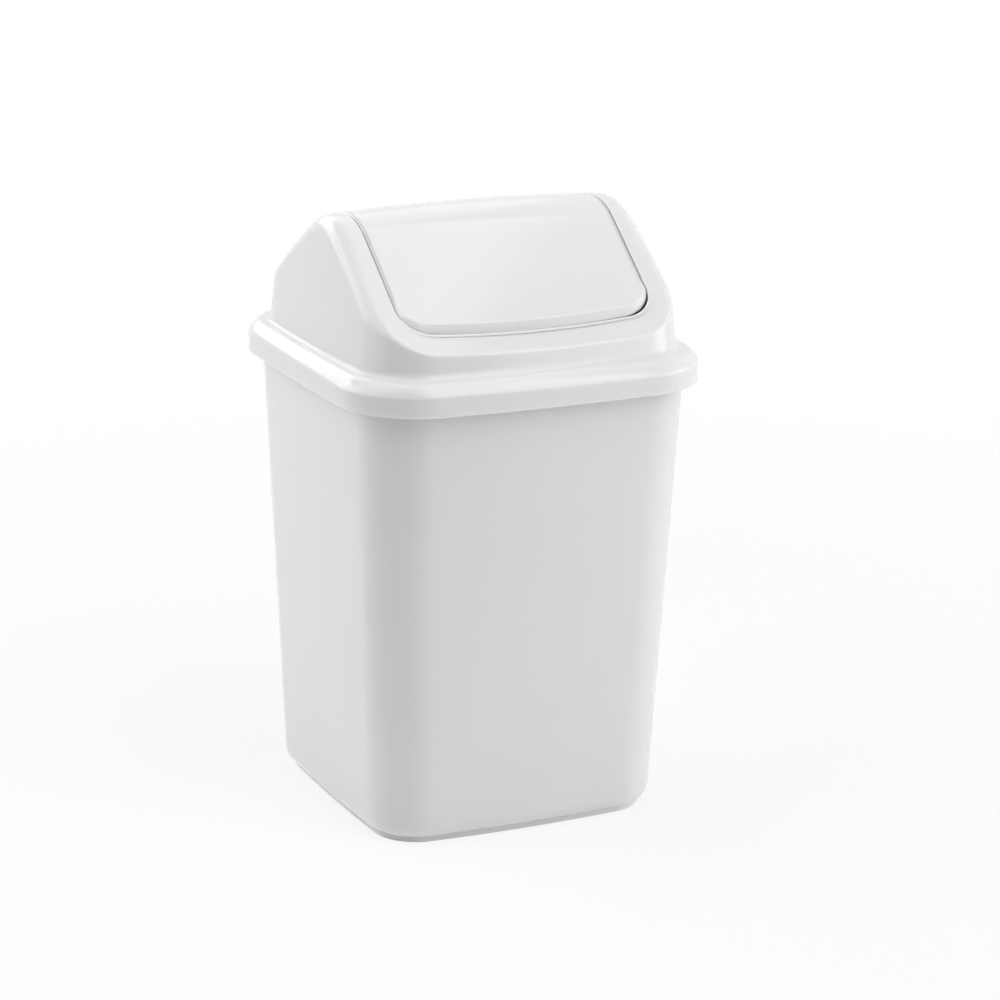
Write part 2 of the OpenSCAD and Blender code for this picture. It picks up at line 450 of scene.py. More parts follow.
@dataclass
class Bucket:
    """The open-topped bin: foot ring, rounded lower edge, tapered walls and turned-down rim."""

    height: float = 197.7
    rim_half: float = 77.8
    top_half: float = 74.2
    wall: float = 1.5
    wall_end: float = 1.6
    inner_start: float = 1.0
    taper: float = 0.045
    top_corner: float = 23.4
    corner_taper: float = 0.015
    edge_radius: float = 7.0
    foot_height: float = 1.8
    foot_half: float = 61.4
    foot_wall: float = 1.8
    foot_draft: float = 0.1
    foot_soft: float = 0.08
    flare: float = 0.05
    flare_start: float = 0.02
    flare_z: float = 1.2
    rim_corner: float = 27.6
    rim_radius: float = 3.4
    rim_lip: float = 7.5
    rim_wall: float = 1.4
    rim_root: float = 0.4
    rim_bend: float = 0.5
    lip_soft: float = 0.2
    mouth_soft: float = 0.15
    small: float = 0.3
    round_steps: int = 12
    wall_steps: int = 24
    inner_steps: int = 20
    floor_steps: int = 10
    outline: Outline = field(default_factory=Outline)

    @property
    def edge_z(self) -> float:
        """Height at which the rounded lower edge passes into the wall."""
        return self.foot_height + self.edge_radius

    @property
    def edge_centre(self) -> float:
        """Distance of the rounded lower edge's centre from the middle."""
        return self.wall_half(self.edge_z) - self.edge_radius

    def wall_half(self, z: float) -> float:
        """Half width of the outer wall at a height."""
        return self.top_half - self.taper * (self.height - z)

    def ring(self, half: float, z: float) -> list[Vector]:
        """A ring parallel to the wall.

        Args:
            half: Half width.
            z: Height.

        Returns:
            The ring in millimetres.
        """
        corner = self.top_corner - self.corner_taper * (self.height - z)
        corner -= self.wall_half(z) - half
        return level(self.outline.square(half, corner), z)

    def rim_ring(self, inset: float, z: float) -> list[Vector]:
        """A ring parallel to the rim's outer edge."""
        return level(self.outline.square(self.rim_half - inset, self.rim_corner - inset), z)

    def lower_edge(self, radius: float, angle: float) -> list[Vector]:
        """A ring of the rounded lower edge, at an angle in degrees below its centre's level.

        Args:
            radius: Radius of the rounding, outside or inside.
            angle: How far the ring lies below the centre's level.

        Returns:
            The ring in millimetres.
        """
        turn = math.radians(angle)
        half = self.edge_centre + radius * math.cos(turn)
        return self.ring(half, self.edge_z - radius * math.sin(turn))

    def rings(self) -> Rings:
        """All the rings, from the underside up the outside and down the inside."""
        return self.foot_rings() + self.wall_rings() + self.rim_rings() + self.inner_rings()

    def foot_rings(self) -> Rings:
        """The foot ring, from its inner face over the sole to its outer face.

        Returns:
            The rings in order, in millimetres.
        """
        outer, inner = self.foot_half, self.foot_half - self.foot_wall
        draft, soft, small = self.foot_draft, self.foot_soft, self.small
        profile = [
            (inner, self.foot_height),
            (inner + draft, small),
            (inner + 2 * draft + small / 2, 0.0),
            (inner + 2 * draft + small, 0.0),
            (outer - small, 0.0),
            (outer - soft, soft),
            (outer, small),
            (outer + self.flare_start, self.flare_z),
            (outer + self.flare, self.foot_height),
        ]
        return [self.ring(half, z) for half, z in profile]

    def wall_rings(self) -> Rings:
        """The outside, from the foot ring up to just under the rim.

        Returns:
            The rings in order, in millimetres.
        """
        start = self.foot_half + 2 * self.flare
        reach = math.degrees(math.acos((start - self.edge_centre) / self.edge_radius))
        steps = self.round_steps
        found = [
            self.lower_edge(self.edge_radius, reach * (1 - k / steps)) for k in range(steps + 1)
        ]
        high = self.height - self.wall_end
        for k in range(1, self.wall_steps + 1):
            z = self.edge_z + (high - self.edge_z) * k / self.wall_steps
            found.append(self.ring(self.wall_half(z), z))
        return found

    def rim_rings(self) -> Rings:
        """The rim: out under the flange, down inside the lip and back up over the top.

        Returns:
            The rings in order, in millimetres.
        """
        under = self.height - self.wall
        lip_z = self.height - self.rim_lip
        mouth = self.top_half - self.wall
        bend, lip_soft, mouth_soft = self.rim_bend, self.lip_soft, self.mouth_soft
        found = [
            self.ring(self.wall_half(under) + self.rim_root, under),
            self.rim_ring(self.rim_wall + bend, under),
            self.rim_ring(self.rim_wall, under - bend),
            self.rim_ring(self.rim_wall, lip_z + lip_soft),
            self.rim_ring(self.rim_wall - lip_soft, lip_z),
            self.rim_ring(self.small, lip_z),
            self.rim_ring(0.0, lip_z + self.small),
        ]
        start = self.height - self.rim_radius
        for inset, rise in rounding(self.rim_radius, self.round_steps):
            found.append(self.rim_ring(inset, start + rise))
        found += [
            self.ring(mouth + bend, self.height),
            self.ring(mouth + mouth_soft, self.height - mouth_soft),
            self.ring(mouth, self.height - bend),
        ]
        return found

    def inner_rings(self) -> Rings:
        """The inside, from under the mouth's edge down to the floor.

        Returns:
            The rings in order, in millimetres.
        """
        top = self.height - self.inner_start
        found = []
        for k in range(self.inner_steps + 1):
            z = top + (self.edge_z - top) * k / self.inner_steps
            found.append(self.ring(self.wall_half(z) - self.wall, z))
        inside = self.edge_radius - self.wall
        for k in range(1, self.floor_steps + 1):
            found.append(self.lower_edge(inside, 90 * k / self.floor_steps))
        return found

    def build(self) -> Object:
        """Makes the bucket.

        Returns:
            The piece.
        """
        ribbon = Ribbon.through(self.rings())
        ribbon.cap(ribbon.first, upwards=False)
        ribbon.cap(ribbon.last, upwards=True)
        return Workshop.finish(ribbon.bm, "bucket")


@dataclass
class Gable:
    """The roof's form: two slopes that meet in a round, slightly crowned ridge."""

    top: float = 253.7
    ridge_radius: float = 31.0
    slope: float = 37.1
    crown: float = 1.85
    crown_x: float = 62.1
    crease_y: float = 68.6
    probe: float = 0.2

    @property
    def turn(self) -> float:
        """The slope's angle in radians."""
        return math.radians(self.slope)

    def height(self, x: float, y: float, depth: float = 0.0) -> float:
        """Height of the roof, or of a surface at a depth under it.

        Args:
            x: Place across the hood.
            y: Place along it.
            depth: How far the surface lies under the roof.

        Returns:
            The height.
        """
        radius = self.ridge_radius - depth
        edge = radius * math.sin(self.turn)
        away = abs(y)
        middle = self.top - self.ridge_radius
        if away < edge:
            base = middle + math.sqrt(radius * radius - away * away)
        else:
            base = middle + radius * math.cos(self.turn) - (away - edge) * math.tan(self.turn)
        return base + self.rise(x, y)

    def rise(self, x: float, y: float) -> float:
        """What the crown adds.

        Args:
            x: Place across the hood.
            y: Place along it.

        Returns:
            The height that is added.
        """
        edge = self.ridge_radius * math.sin(self.turn)
        fade = (self.crease_y - abs(y)) / (self.crease_y - edge)
        across = max(0.0, 1 - (x / self.crown_x) ** 2)
        return self.crown * across * min(1.0, max(0.0, fade))

    def normal(self, x: float, y: float, depth: float = 0.0) -> Vector:
        """The upward normal, from the heights a small step away on either side.

        Args:
            x: Place across the hood.
            y: Place along it.
            depth: How far the surface lies under the roof.

        Returns:
            A unit vector.
        """
        step = self.probe
        dx = (self.height(x + step, y, depth) - self.height(x - step, y, depth)) / (2 * step)
        dy = (self.height(x, y + step, depth) - self.height(x, y - step, depth)) / (2 * step)
        return Vector((-dx, -dy, 1.0)).normalized()


@dataclass
class Hood:
    """The lift-off lid: skirt, shoulder, leaning walls, gabled roof and its opening."""

    skirt_half: float = 79.96
    skirt_corner: float = 29.8
    skirt_bottom: float = 186.5
    shoulder_z: float = 199.3
    shoulder: float = 4.8
    skirt_step: float = 2.0
    wall: float = 1.6
    half: float = 71.4
    corner: float = 23.6
    lean_x: float = 0.096
    lean_y: float = 0.089
    edge_side: float = 5.6
    edge_ridge: float = 8.4
    edge_front: float = 1.7
    ridge_reach: float = 37.5
    fillet_front: float = 3.6
    fillet_side: float = 1.7
    foot_gap: float = 0.25
    turn_from: float = 0.25
    edge_turn: float = 0.6
    fillet_turn: float = 0.65
    mouth_x: float = 56.3
    mouth_y: float = 61.9
    mouth_corner: float = 13.0
    mouth_lip: float = 0.45
    collar: float = 4.6
    pivot_z: float = PIVOT_Z
    ear_radius: float = 5.0
    ear_wall: float = 2.6
    socket_radius: float = 2.46
    round_steps: int = 12
    fillet_steps: int = 8
    lip_steps: int = 6
    roof_start: float = 0.02
    roof_end: float = 0.985
    roof_steps: int = 10
    gable: Gable = field(default_factory=Gable)
    outline: Outline = field(default_factory=Outline)

    def skirt_ring(self, inset: float, z: float) -> list[Vector]:
        """A ring parallel to the skirt."""
        return level(self.outline.square(self.skirt_half - inset, self.skirt_corner - inset), z)

    def foot(self) -> list[Vector]:
        """Plan of the walls' outside at the shoulder's height."""
        return self.outline.square(self.half, self.corner)

    def edge_radii(self) -> list[float]:
        """Radius of the edge between wall and roof: it grows along the gables to the ridge.

        Returns:
            One radius for each point of the plan.
        """
        plan = self.foot()
        found = []
        for p, n in zip(plan, self.outline.normals(plan)):
            high = smooth_step(1 - abs(p.y) / self.ridge_reach)
            side = self.edge_side + (self.edge_ridge - self.edge_side) * high
            front = smooth_step((abs(n.y) - self.turn_from) / self.edge_turn)
            found.append(side + (self.edge_front - side) * front)
        return found

    def core(self) -> list[Vector]:
        """Plan of the wall's edge centres at the shoulder's height.

        Returns:
            One point for each point of the plan.
        """
        plan = self.foot()
        return [
            p - n * radius
            for p, n, radius in zip(plan, self.outline.normals(plan), self.edge_radii())
        ]

    def core_point(self, base: Vector, z: float) -> Vector:
        """A core point after the wall's lean to a height."""
        rise = (z - self.shoulder_z) / self.half
        return Vector((base.x * (1 - self.lean_x * rise), base.y * (1 - self.lean_y * rise), z))

    def eaves(self, base: Vector, radius: float) -> Vector:
        """Where the core wall meets the core roof, by repeated substitution.

        Args:
            base: The core point at the shoulder's height.
            radius: Radius of the edge there.

        Returns:
            The centre of the rounded edge.
        """
        rounds = 24
        z = self.gable.top
        for _ in range(rounds):
            p = self.core_point(base, z)
            z = self.gable.height(p.x, p.y, radius)
        return self.core_point(base, z)

    def wall_normals(self) -> list[Vector]:
        """Outward normals of the leaning wall.

        Returns:
            A unit vector for each point of the plan.
        """
        found = []
        for n in self.outline.normals(self.foot()):
            lean = self.lean_x * n.x**2 + self.lean_y * n.y**2
            found.append(Vector((n.x, n.y, lean)).normalized())
        return found

    def fillet_radius(self, normal: Vector) -> float:
        """Radius of the hollow at the foot of the wall: wide in front, tight at the gables."""
        share = smooth_step((abs(normal.y) - self.turn_from) / self.fillet_turn)
        return self.fillet_side + (self.fillet_front - self.fillet_side) * share

    def mouth_ring(self, grow: float, drop: float) -> list[Vector]:
        """A ring round the opening, a distance outside its edge and below the roof.

        Args:
            grow: Distance outside the opening's edge.
            drop: Distance below the roof.

        Returns:
            The ring in millimetres.
        """
        squash = math.cos(self.gable.turn)
        r = self.mouth_corner + grow
        plan = self.outline.mouth(self.mouth_x + grow, self.mouth_y + grow, r, r * squash)
        return [Vector((p.x, p.y, self.gable.height(p.x, p.y) - drop)) for p in plan]

    def outer_rings(self) -> Rings:
        """Rings of the outside, from the skirt's lower edge to the collar's end.

        Returns:
            The rings in order, in millimetres.
        """
        found = [self.skirt_ring(0.0, self.skirt_bottom + self.skirt_step * k) for k in range(4)]
        start = self.shoulder_z - self.shoulder
        for inset, rise in rounding(self.shoulder, steps=20):
            found.append(self.skirt_ring(inset, start + rise))
        found += self.fillet_rings()
        found += self.wall_rings()
        found += self.roof_rings()
        found += self.lip_rings()
        found += [self.mouth_ring(0.0, self.collar * k / 3) for k in (1, 2, 3)]
        return found

    def lip_rings(self) -> Rings:
        """The small rounding between the roof and the opening's turned-down edge.

        Returns:
            The rings in order, in millimetres.
        """
        r = self.mouth_lip
        core = self.mouth_ring(r, 0.0)
        outs = self.outline.normals([Vector((p.x, p.y)) for p in core])
        found = []
        for k in range(self.lip_steps + 1):
            ring = []
            for p, n in zip(core, outs):
                centre = Vector((p.x, p.y, self.gable.height(p.x, p.y, r)))
                up = self.gable.normal(p.x, p.y, r)
                inwards = Vector((-n.x, -n.y, 0.0))
                ring.append(centre + up.slerp(inwards, k / self.lip_steps) * r)
            found.append(ring)
        return found

    def fillet_rings(self) -> Rings:
        """The hollow between the shoulder and the wall.

        Returns:
            The rings in order, in millimetres.
        """
        base, normals, edges = self.core(), self.wall_normals(), self.edge_radii()
        found = []
        for turn in quarter_turn(self.fillet_steps):
            ring = []
            for p, n, edge in zip(base, normals, edges):
                radius = self.fillet_radius(n)
                flat = Vector((n.x, n.y)).normalized()
                z = self.shoulder_z + self.foot_gap + radius * (1 - math.cos(turn))
                foot = self.core_point(p, z)
                out = edge + radius * (1 - math.sin(turn))
                ring.append(Vector((foot.x + flat.x * out, foot.y + flat.y * out, z)))
            found.append(ring)
        return found

    def wall_rings(self) -> Rings:
        """The leaning walls and the rounded edge between them and the roof.

        Returns:
            The rings in order, in millimetres.
        """
        base, normals, edges = self.core(), self.wall_normals(), self.edge_radii()
        tops = [self.eaves(p, edge) for p, edge in zip(base, edges)]
        found = []
        steps = self.round_steps
        for k in range(1, steps + 1):
            ring = []
            for p, n, top, edge in zip(base, normals, tops, edges):
                low = self.shoulder_z + self.foot_gap + self.fillet_radius(n)
                centre = self.core_point(p, low + (top.z - low) * k / steps)
                ring.append(centre + n * edge)
            found.append(ring)
        for k in range(1, steps + 1):
            ring = []
            for n, top, edge in zip(normals, tops, edges):
                up = self.gable.normal(top.x, top.y, edge)
                ring.append(top + n.slerp(up, k / steps) * edge)
            found.append(ring)
        return found

    def roof_rings(self) -> Rings:
        """The roof's frame, from its rounded edge in to the opening.

        Returns:
            The rings in order, in millimetres.
        """
        start = self.wall_rings()[-1]
        end = self.lip_rings()[0]
        between = [k / self.roof_steps for k in range(1, self.roof_steps)]
        found = []
        for share in (self.roof_start, *between, self.roof_end):
            ring = []
            for a, b in zip(start, end):
                p = a.lerp(b, share)
                miss = a.z - self.gable.height(a.x, a.y)
                ring.append(Vector((p.x, p.y, self.gable.height(p.x, p.y) + miss * (1 - share))))
            found.append(ring)
        return found

    def build(self) -> Object:
        """Makes the hood's shell.

        Returns:
            The piece.
        """
        ribbon = Ribbon.through(self.outer_rings())
        Workshop.thicken(ribbon.bm, self.wall)
        return Workshop.finish(ribbon.bm, "hood_shell", 40.0)


@dataclass
class HoodFittings:
    """What is moulded on the hood's underside: the locating lip and two ribbed ears."""

    hood: Hood
    lip_height: float = 5.0
    lip_wall: float = 1.6
    lip_draft: float = 0.2
    lip_inset: float = 0.3
    lip_root: float = 0.6
    lip_lead: float = 0.4
    lip_soft: float = 0.3
    seat_z: float = 197.7
    ear_root: float = 0.3
    segments: int = 48
    rib_pitch: float = 7.8
    rib_wall: float = 1.2
    rib_drop: float = 2.0

    def lip_ring(self, inset: float, z: float) -> list[Vector]:
        """A ring parallel to the hood's wall."""
        hood = self.hood
        return level(hood.outline.square(hood.half - inset, hood.corner - inset), z)

    def lip(self) -> Object:
        """The lip that centres the hood inside the bin's mouth.

        Returns:
            The piece.
        """
        low, high = self.seat_z - self.lip_height, self.seat_z + self.lip_root
        wall, draft, lead, soft = self.lip_wall, self.lip_draft, self.lip_lead, self.lip_soft
        profile = [
            (self.lip_inset, high),
            (draft, low + lead),
            (draft + lead, low),
            (wall - soft, low),
            (wall, low + soft),
            (wall, high),
        ]
        ribbon = Ribbon.through([self.lip_ring(inset, z) for inset, z in profile])
        ribbon.close()
        return Workshop.finish(ribbon.bm, "hood_lip")

    def ear_point(self, angle: float, top: float) -> tuple[float, float]:
        """Outline of an ear: round below the pivot, straight up to the roof above it.

        Args:
            angle: Direction from the pivot in radians.
            top: How far the ear goes up.

        Returns:
            Offsets from the pivot along Y and Z.
        """
        y, z = math.cos(angle), math.sin(angle)
        r = self.hood.ear_radius
        if z <= 0:
            return r * y, r * z
        reach = min(r / max(abs(y), TINY), top / max(z, TINY))
        return reach * y, reach * z

    def ears(self) -> Object:
        """Both ears with their round sockets and their ribs.

        Returns:
            The piece.
        """
        hood = self.hood
        bm = bmesh.new()
        top = hood.gable.top - hood.wall - hood.pivot_z + self.ear_root
        loops = []
        for radius in (hood.socket_radius, None):
            made = bmesh.ops.create_circle(bm, segments=self.segments, radius=1.0)["verts"]
            for k, v in enumerate(made):
                angle = 2 * math.pi * k / self.segments
                if radius:
                    y, z = radius * math.cos(angle), radius * math.sin(angle)
                else:
                    y, z = self.ear_point(angle, top)
                v.co = Vector((hood.mouth_x, y, hood.pivot_z + z)) * MM
            loops += list({e for v in made for e in v.link_edges})
        bridged = bmesh.ops.bridge_loops(bm, edges=loops)["faces"]
        self.push(bm, bridged, Vector((hood.ear_wall, 0, 0)))
        for side in (-1, 1):
            self.rib(bm, side * self.rib_pitch / 2 - self.rib_wall / 2)
        Workshop.mirror(bm)
        return Workshop.finish(bm, "hood_ears")

    @staticmethod
    def push(bm: BMesh, faces: Sequence[BMFace], way: Vector) -> None:
        """Extrudes flat faces into a solid.

        Args:
            bm: The mesh.
            faces: The faces, which stay as one end.
            way: Direction and length in millimetres.
        """
        out = bmesh.ops.extrude_face_region(bm, geom=faces)["geom"]
        verts = [g for g in out if isinstance(g, BMVert)]
        bmesh.ops.translate(bm, verts=verts, vec=way * MM)

    def rib(self, bm: BMesh, y: float) -> None:
        """Adds one rib from the +X ear to the gable wall behind it.

        Args:
            bm: The mesh.
            y: Where the rib starts; it goes on towards +Y by its thickness.
        """
        hood = self.hood
        centre = hood.eaves(Vector((hood.half - hood.edge_ridge, 0.0)), hood.edge_ridge)
        reach = hood.edge_ridge - hood.wall / 2
        inner, low = hood.mouth_x + hood.ear_wall / 2, hood.pivot_z - self.rib_drop
        turns = quarter_turn(6)
        edge = [(centre.x + reach * math.cos(t), centre.z + reach * math.sin(t)) for t in turns]
        outline = [(inner, low), (centre.x + reach, low), *edge, (inner, centre.z + reach)]
        face = bm.faces.new([bm.verts.new(Vector((x, y, z)) * MM) for x, z in outline])
        self.push(bm, [face], Vector((0, self.rib_wall, 0)))


@dataclass
class Flap:
    """The swing flap: two slopes and a ridge in one panel with a turned-down edge."""

    half_x: float = 55.85
    half_y: float = 60.5
    corner: float = 12.3
    corner_y: float = 10.2
    corner_growth: int = 5
    edge_radius: float = 1.0
    chamfer: float = 2.5
    chamfer_angle: float = 29.0
    wall: float = 1.5
    edge_share: float = 0.98
    end_from: float = 0.25
    end_turn: float = 0.55
    side_rim: float = 5.0
    end_rim: float = 2.6
    end_rim_y: float = 47.0
    end_rim_blend: float = 5.0
    least_rim: float = 0.3
    pin_radius: float = 2.4
    pin_length: float = 2.9
    pin_root: float = 0.5
    pin_soft: float = 0.35
    pin_segments: int = 48
    tab_radius: float = 5.0
    pivot_z: float = PIVOT_Z
    x_cells: int = 44
    y_cells: int = 96
    gable: Gable = field(default_factory=Gable)
    bow: Bow = field(default_factory=Bow)

    def spread(self, u: float, v: float) -> Vector:
        """Moves a point of a square into the round-cornered plan of the panel's flat part.

        Args:
            u: From -1 to 1 across the flap.
            v: From -1 to 1 along it.

        Returns:
            The point in plan. The square's border goes to where the flat part ends.
        """
        size = max(abs(u), abs(v))
        if size < TINY:
            return Vector((0.0, 0.0))
        half = Vector((self.half_x - self.edge_radius, self.half_y - self.chamfer)) * size
        r = (self.corner - self.edge_radius) * size**self.corner_growth
        radii = Vector((r, r * math.cos(self.gable.turn)))
        upright = abs(u) >= abs(v)
        share = abs(v if upright else u) / size
        straight = (half.y - radii.y) if upright else (half.x - radii.x)
        arc = math.pi / 4 * r
        bend = arc / (straight + arc)
        if share <= 1 - bend:
            along = straight * share / (1 - bend)
            p = Vector((half.x, along)) if upright else Vector((along, half.y))
        else:
            turn = (share - (1 - bend)) / bend * math.pi / 4
            turn = turn if upright else math.pi / 2 - turn
            x = half.x - radii.x + radii.x * math.cos(turn)
            y = half.y - radii.y + radii.y * math.sin(turn)
            p = Vector((x, y))
        p = Vector((math.copysign(p.x, u), math.copysign(p.y, v)))
        return Vector((p.x, p.y * self.bow.front_share(p.x, self.half_x)))

    def rim_depth(self, y: float) -> float:
        """Depth of the turned-down edge: deep at the sides, shallow where it swings past."""
        share = smooth_step((abs(y) - self.end_rim_y) / self.end_rim_blend)
        return self.side_rim + (self.end_rim - self.side_rim) * share

    def end_share(self, out: Vector) -> float:
        """1 on the lower edges, 0 on the sides, with a blend round the corners."""
        return smooth_step((abs(out.y) - self.end_from) / self.end_turn)

    def inside(self, p: Vector) -> bool:
        """Whether a point in plan lies inside the flap's outer edge.

        Args:
            p: The point.

        Returns:
            True inside.
        """
        x = abs(p.x)
        y = abs(p.y) / self.bow.front_share(p.x, self.half_x)
        round_x, round_y = self.corner, self.corner_y * math.cos(self.gable.turn)
        past_x, past_y = x - (self.half_x - round_x), y - (self.half_y - round_y)
        if past_x <= 0 or past_y <= 0:
            return x < self.half_x and y < self.half_y
        return (past_x / round_x) ** 2 + (past_y / round_y) ** 2 < 1

    def reach(self, p: Vector, out: Vector) -> float:
        """Level distance from where the flat part ends to the outer edge, by halving.

        Args:
            p: Point in plan where the flat part ends.
            out: Outward direction there, level.

        Returns:
            The distance.
        """
        halvings = 20
        near, far = 0.0, 2 * self.chamfer
        for _ in range(halvings):
            middle = (near + far) / 2
            if self.inside(p + out.to_2d() * middle):
                near = middle
            else:
                far = middle
        return near

    def edge_profile(self, p: Vector, out: Vector) -> list[Vector]:
        """The way round the edge at one place: crease, chamfer, lower crease and rim.

        Args:
            p: Point in plan where the panel's flat part ends.
            out: Outward direction there, level.

        Returns:
            The points after the panel's own, from the panel down to the rim's end.
        """
        share = self.end_share(out)
        up = self.gable.normal(p.x, p.y)
        along = (out - up * out.dot(up)).normalized()
        bend = math.radians(self.chamfer_angle) * share
        radius = self.edge_radius
        start = Vector((p.x, p.y, self.gable.height(p.x, p.y)))
        centre = start - up * radius
        found = []
        steps = 5
        for k in range(1, steps + 1):
            turn = bend * k / steps
            found.append(centre + (up * math.cos(turn) + along * math.sin(turn)) * radius)
        slant = along * math.cos(bend) - up * math.sin(bend)
        width = max(0.0, self.reach(p, out) - radius) * self.edge_share
        width /= math.hypot(slant.x, slant.y)
        found += [found[-1] + slant * (width * k / 3) for k in (1, 2, 3)]
        tilted = up * math.cos(bend) + along * math.sin(bend)
        centre = found[-1] - tilted * radius
        steps = 6
        for k in range(1, steps + 1):
            found.append(centre + tilted.slerp(out, k / steps) * radius)
        last = found[-1]
        roof = self.gable.height(last.x, last.y)
        low = min(last.z - self.least_rim, roof - self.rim_depth(p.y))
        found += [Vector((last.x, last.y, last.z + (low - last.z) * k / 3)) for k in (1, 2, 3)]
        return found

    def edge_rings(self, plan: Sequence[Vector]) -> Rings:
        """Rings round the edge, from the panel down to the rim's end.

        Args:
            plan: The points where the flat part ends.

        Returns:
            The rings in order, in millimetres.
        """
        outs = [Vector((n.x, n.y, 0.0)) for n in Outline.normals(plan)]
        profiles = [self.edge_profile(p, out) for p, out in zip(plan, outs)]
        return [list(ring) for ring in zip(*profiles)]

    def panel(self) -> BMesh:
        """The panel with its rounded, turned-down edge, as a shell.

        Returns:
            The mesh.
        """
        bm = bmesh.new()
        bmesh.ops.create_grid(bm, x_segments=self.x_cells, y_segments=self.y_cells, size=1.0)
        border = self.border(bm)
        plan = [self.spread(v.co.x, v.co.y) for v in border]
        for v in bm.verts:
            p = self.spread(v.co.x, v.co.y)
            v.co = Vector((p.x, p.y, self.gable.height(p.x, p.y))) * MM
        ribbon = Ribbon.carry_on(bm, border)
        for ring in self.edge_rings(plan):
            ribbon.grow(ring)
        Workshop.thicken(bm, self.wall)
        return bm

    @staticmethod
    def border(bm: BMesh) -> list[BMVert]:
        """The grid's border vertices, anticlockwise from the corner at +X -Y.

        Args:
            bm: The grid.

        Returns:
            The vertices in order.
        """
        corner = math.pi / 4 + TINY
        edge = [v for v in bm.verts if v.is_boundary]
        return sorted(edge, key=lambda v: (math.atan2(v.co.y, v.co.x) + corner) % math.tau)

    def pin(self, bm: BMesh) -> None:
        """Adds one pin with its tab and web at the +X side.

        Args:
            bm: The mesh that the pin is added to.
        """
        turn = Matrix.Rotation(math.pi / 2, 4, "Y")
        shaft = self.pin_length + self.pin_root
        parts = (
            (self.tab_radius, self.wall, self.half_x - self.wall / 2),
            (self.pin_radius, shaft, self.half_x - self.pin_root + shaft / 2),
        )
        for radius, length, x in parts:
            place = Matrix.Translation(Vector((x, 0, self.pivot_z)) * MM) @ turn
            form = {"radius1": radius * MM, "radius2": radius * MM, "depth": length * MM}
            made = bmesh.ops.create_cone(
                bm, cap_ends=True, segments=self.pin_segments, matrix=place, **form
            )["verts"]
            far = max(v.co.x for v in made)
            rim = [
                e
                for e in {e for v in made for e in v.link_edges}
                if all(abs(v.co.x - far) < TINY for v in e.verts)
            ]
            Workshop.soften(bm, rim, self.pin_soft)
        web = self.gable.top - self.edge_radius - self.pivot_z
        size = Vector((self.wall, 2 * self.tab_radius, web))
        centre = Vector((self.half_x - self.wall / 2, 0, self.pivot_z + web / 2)) * MM
        bmesh.ops.create_cube(
            bm, size=1.0, matrix=Matrix.Translation(centre) @ Matrix.Diagonal((*(size * MM), 1.0))
        )

    def pins(self) -> Object:
        """Both pins.

        Returns:
            The piece.
        """
        bm = bmesh.new()
        self.pin(bm)
        Workshop.mirror(bm)
        return Workshop.finish(bm, "flap_pins")

    def build(self) -> Object:
        """Makes the flap's panel."""
        return Workshop.finish(self.panel(), "flap_panel", 40.0)


# --- finishes ---------------------------------------------------------------


class Wire:
    """A number that runs through a shader: sums and products add their Math nodes."""

    def __init__(self, tree: "Tree", socket: NodeSocket) -> None:
        """Wraps an output socket."""
        self.tree = tree
        self.socket = socket

    def _maths(self, operation: str, a: "Wire | float", b: "Wire | float") -> "Wire":
        """Adds one Math node."""
        node = self.tree.node("Math", {0: a, 1: b}, operation=operation)
        return Wire(self.tree, node.outputs[0])

    def __add__(self, other: "Wire | float") -> "Wire":
        """Sum."""
        return self._maths("ADD", self, other)

    __radd__ = __add__

    def __sub__(self, other: "Wire | float") -> "Wire":
        """Difference."""
        return self._maths("SUBTRACT", self, other)

    def __rsub__(self, other: float) -> "Wire":
        """Difference from a number."""
        return self._maths("SUBTRACT", other, self)

    def __mul__(self, other: "Wire | float") -> "Wire":
        """Product."""
        return self._maths("MULTIPLY", self, other)

    __rmul__ = __mul__

    def larger(self, other: "Wire | float") -> "Wire":
        """The larger of two numbers."""
        return self._maths("MAXIMUM", self, other)


class Tree:
    """A node tree under construction."""

    def __init__(self, tree: NodeTree) -> None:
        """Empties a node tree.

        Args:
            tree: Tree of a material or of the world.
        """
        self.tree = tree
        tree.nodes.clear()

    def node(self, kind: str, inputs: dict[object, object], **settings: object) -> Node:
        """Adds a node.

        Args:
            kind: The node's type without its prefix.
            inputs: Values, wires or sockets by socket name or number.
            settings: Properties, set before the sockets.

        Returns:
            The node.
        """
        made = self.tree.nodes.new("ShaderNode" + kind)
        for name, value in settings.items():
            setattr(made, name, value)
        for name, value in inputs.items():
            if isinstance(value, Wire):
                self.tree.links.new(value.socket, made.inputs[name])
            elif isinstance(value, NodeSocket):
                self.tree.links.new(value, made.inputs[name])
            else:
                made.inputs[name].default_value = value
        return made

    def wire(self, node: Node, output: str) -> Wire:
        """Wraps an output of a node."""
        return Wire(self, node.outputs[output])


